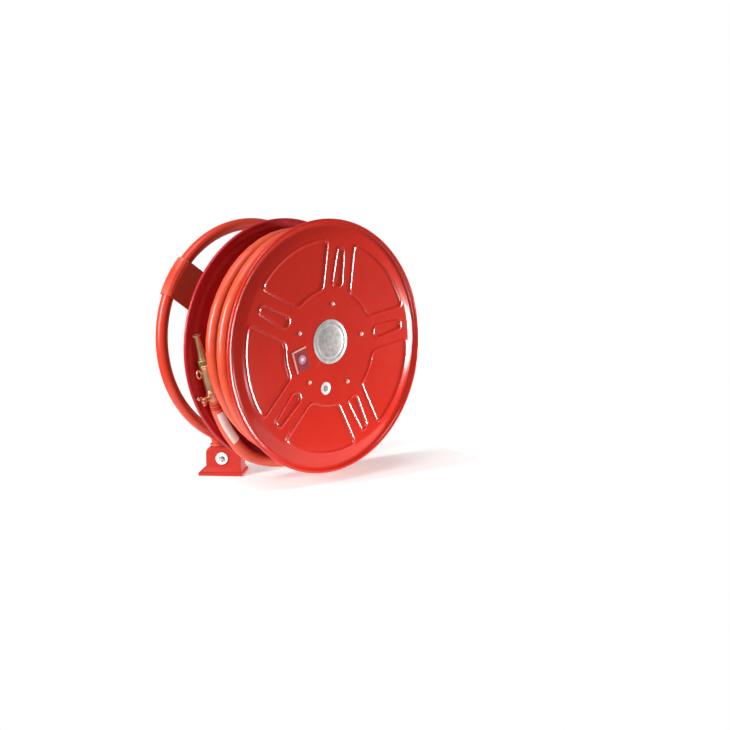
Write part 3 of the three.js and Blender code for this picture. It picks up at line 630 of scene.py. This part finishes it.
def pipe_route():
    rise = HOOP_Z - NECK_BEND_Z
    bend = (HOOP_X ** 2 + rise ** 2 - HOOP_R ** 2) / (2 * (HOOP_R - HOOP_X))
    meet = math.degrees(math.atan2(rise, HOOP_X + bend))
    end = math.radians(HOOP_END_DEG)
    cx = HOOP_X + (HOOP_R - INWARD_BEND_R) * math.cos(end)
    cz = HOOP_Z + (HOOP_R - INWARD_BEND_R) * math.sin(end)
    distance = math.hypot(cx - REEL_X, cz - REEL_Z)
    towards = math.atan2(cz - REEL_Z, cx - REEL_X) - math.asin(INWARD_BEND_R / distance)
    reach = math.sqrt(distance ** 2 - INWARD_BEND_R ** 2)
    ex, ez = math.cos(towards), math.sin(towards)
    turn_end = math.degrees(math.atan2(REEL_Z + reach * ez - cz, REEL_X + reach * ex - cx))
    route = [(0, NECK_BOTTOM), (0, NECK_MIDDLE)] + arc(-bend, NECK_BEND_Z, bend, 0, meet, NECK_STEPS)
    route += arc(HOOP_X, HOOP_Z, HOOP_R, meet - 180, HOOP_END_DEG - 360, HOOP_STEPS)[1:]
    route += arc(cx, cz, INWARD_BEND_R, HOOP_END_DEG, turn_end, BEND_STEPS)[1:]
    points = [Vector((x, 0, z)) for x, z in route]
    for i in range(RISE_STEPS + 1):
        share = RISE_FROM + (RISE_TO - RISE_FROM) * i / RISE_STEPS
        place = reach * share
        points.append(Vector((REEL_X + place * ex, ELBOW_Y * smoothstep(i / RISE_STEPS),
                              REEL_Z + place * ez)))
    place = PIPE_END_FROM_AXIS
    points.append(Vector((REEL_X + place * ex, ELBOW_Y, REEL_Z + place * ez)))
    return points


def make_frame():
    pipe = tube("hoop_pipe", pipe_route(), PIPE_R, 8)
    dress(pipe, "hoop_red", "swing_frame", replaces=("frame_pipe",))


# ---- labels, all blank ----
def make_labels():
    def at(x, z, back=LABEL_BACK):
        place = Matrix.Translation((REEL_X + x, back, REEL_Z + z))
        return place @ Matrix.Rotation(math.radians(180), 4, "Z")

    def sticker(name, radius, x, z, look, thick=0.5, back=LABEL_BACK, node=None, slot="label_silver"):
        outline = [(0, 0), (radius, 0), (radius, thick * 0.6), (radius - 0.5, thick), (0, thick)]
        piece = lathe(name, outline, 72, at(x, z, back))
        dress(piece, look, "reel", replaces=(node,) if node else ())

    sticker("centre_sticker", CENTRE_R, *CENTRE_LABEL, "label_silver", 0.6, node="centre_label")
    sticker("centre_sticker_middle", CENTRE_MIDDLE_R, *CENTRE_LABEL, "label_ring", 0.25, LABEL_BACK - 0.6)
    inside, outside = CENTRE_RING
    band = lathe("centre_sticker_ring", [(inside, 0), (outside, 0), (outside, 0.3), (inside, 0.3)], 96,
                 at(*CENTRE_LABEL, LABEL_BACK - 0.6))
    dress(band, "label_ring", "reel")
    sticker("round_sticker", SMALL_R, *SMALL_LABEL, "white_plastic", 0.6, node="small_label")
    sticker("round_sticker_middle", SMALL_MIDDLE_R, *SMALL_LABEL, "label_grey", 0.3, LABEL_BACK - 0.6)
    tilt = Matrix.Rotation(math.radians(SQUARE_TILT), 4, "Y")
    spot = Matrix.Translation((REEL_X + SQUARE_LABEL[0], LABEL_BACK, REEL_Z + SQUARE_LABEL[1])) @ tilt

    def plate(name, x0, z0, x1, z1, depth, look, node=None):
        inset = 0.5
        points = [(x, 0, z) for x, z in ((x0, z0), (x1, z0), (x1, z1), (x0, z1))]
        points += [(x, -depth, z) for x, z in ((x0 + inset, z0 + inset), (x1 - inset, z0 + inset),
                                                     (x1 - inset, z1 - inset), (x0 + inset, z1 - inset))]
        faces = [(0, 1, 2, 3), (7, 6, 5, 4)] + [(i, i + 4, (i + 1) % 4 + 4, (i + 1) % 4) for i in range(4)]
        piece = mesh_object(name, place_points(points, spot), faces)
        dress(piece, look, "reel", replaces=(node,) if node else ())

    wide, high = SQUARE_HALF_WIDTH, SQUARE_HALF_HEIGHT
    plate("square_sticker", -wide, -high, wide, high, 1.0, "label_red", "square_label")
    # the two pale strips are painted highlights along the label's left side and top
    plate("square_sticker_side_highlight", -wide, -high, HIGHLIGHT_STRIP - wide, high, 1.5, "label_edge_highlight")
    plate("square_sticker_top_highlight", HIGHLIGHT_STRIP_SPLIT - wide, high - HIGHLIGHT_STRIP, wide, high, 1.5, "label_edge_highlight")
    dot = (SQUARE_LABEL[0] + 2, SQUARE_LABEL[1] + 1)
    sticker("square_sticker_dot", DOT_R, *dot, "label_dot", 0.3, LABEL_BACK - 1.0, slot="label_red")
    sticker("square_sticker_dot_middle", DOT_MIDDLE_R, *dot, "white_plastic", 0.2, LABEL_BACK - 1.3,
            slot="label_red")


# ---- pieces kept from the CAD ----
KEPT = {
    "cast_red": ("foot_casting",),
    "hoop_red": ("neck_collar", "cross_strap"),
    # painted shade: the drum barrel gets the darker copy of the red paint
    "painted_shade_red": ("drum_barrel",),
    "brass": ("inlet_adapter", "inlet_elbow", "union_nut"),
    # rivets: brass with a painted red reflection in their colour
    "rivet_brass_painted_reflection": tuple(f"{side}_rivet_{i}" for side in ("front", "rear") for i in range(1, 6)),
    "zinc": ("foot_bolt", "spindle_washer", "spindle_nut", "hose_clamp",
             *(f"flange_bolt_{i}" for i in range(1, 5))),
    "steel": ("spindle_flange", "spindle", "hub", "hub_outlet"),
    "bronze": ("swing_bush", "bush_front", "bush_rear"),
    "black_rubber": ("swing_seal", "seal_ring_rear", "seal_ring_front"),
    "white_plastic": ("foot_bolt_washer",),
}


def keep_cad():
    for look, names in KEPT.items():
        for name in names:
            node = NODES[name]
            for place in node.material_slots:
                place.material = MATERIALS[look]
            if name == "foot_casting":
                remesh = node.modifiers.new("cast", "REMESH")
                remesh.mode = "VOXEL"
                remesh.voxel_size = CAST_VOXEL * MM
                remesh.use_smooth_shade = True
                soften = node.modifiers.new("soften", "SMOOTH")
                soften.factor = 0.5
                soften.iterations = 7
                continue
            bevel = node.modifiers.new("edges", "BEVEL")
            bevel.width = EDGE_BEVEL * MM
            bevel.segments = 2
            bevel.limit_method = "ANGLE"
            bevel.angle_limit = math.radians(40)
            bevel.harden_normals = False


# ---- studio ----
def area_light(name, place, aim, size, power):
    data = bpy.data.lights.new(name, "AREA")
    data.shape = "RECTANGLE"
    data.size, data.size_y = size
    data.energy = power
    lamp = bpy.data.objects.new(name, data)
    bpy.context.scene.collection.objects.link(lamp)
    lamp.location = place
    lamp.visible_camera = False
    lamp.rotation_mode = "QUATERNION"
    lamp.rotation_quaternion = (Vector(aim) - Vector(place)).to_track_quat("-Z", "Y")


def make_world():
    """A white surround that lights the object less than it shows."""
    world = bpy.data.worlds.new("studio")
    world.use_nodes = True
    tree = world.node_tree
    lit = tree.nodes["Background"]
    lit.inputs["Strength"].default_value = WORLD_LIGHT
    shown = tree.nodes.new("ShaderNodeBackground")
    shown.inputs["Strength"].default_value = 1.0
    shown.inputs["Color"].default_value = (1, 1, 1, 1)
    lit.inputs["Color"].default_value = (1, 1, 1, 1)
    path = tree.nodes.new("ShaderNodeLightPath")
    mix = tree.nodes.new("ShaderNodeMixShader")
    tree.links.new(path.outputs["Is Camera Ray"], mix.inputs[0])
    tree.links.new(lit.outputs[0], mix.inputs[1])
    tree.links.new(shown.outputs[0], mix.inputs[2])
    tree.links.new(mix.outputs[0], tree.nodes["World Output"].inputs["Surface"])
    bpy.context.scene.world = world


def make_studio():
    edge = [(FLOOR_X + FLOOR_R * math.cos(a), FLOOR_Y + FLOOR_R * math.sin(a), FLOOR_Z)
            for a in (2 * math.pi * i / FLOOR_SIDES for i in range(FLOOR_SIDES))]
    floor = mesh_object("floor", edge, [tuple(range(FLOOR_SIDES))])
    dress(floor, "floor")
    glow = MATERIALS["floor"].node_tree.nodes["Principled BSDF"]
    glow.inputs["Emission Color"].default_value = (1, 1, 1, 1)
    glow.inputs["Emission Strength"].default_value = FLOOR_GLOW
    make_world()
    for light in AREA_LIGHTS:
        area_light(*light)
    sun = bpy.data.lights.new("overhead", "SUN")
    sun.energy = SUN_POWER
    sun.angle = math.radians(SUN_ANGLE)
    lamp = bpy.data.objects.new("overhead", sun)
    bpy.context.scene.collection.objects.link(lamp)
    lamp.rotation_mode = "QUATERNION"
    lamp.rotation_quaternion = Vector(SUN_WAY).to_track_quat("-Z", "Y")
    bpy.context.scene.view_settings.view_transform = "Standard"


make_camera()
hose, sleeve, route = make_hose()
on_nozzle = make_nozzle()
make_disc("front_plate", "front_disc", FRONT_HOLE_R, FRONT_RIM_Y, -1)
make_disc("rear_plate", "rear_disc", REAR_HOLE_R, REAR_RIM_Y, 1)
make_frame()
make_labels()
keep_cad()
make_studio()
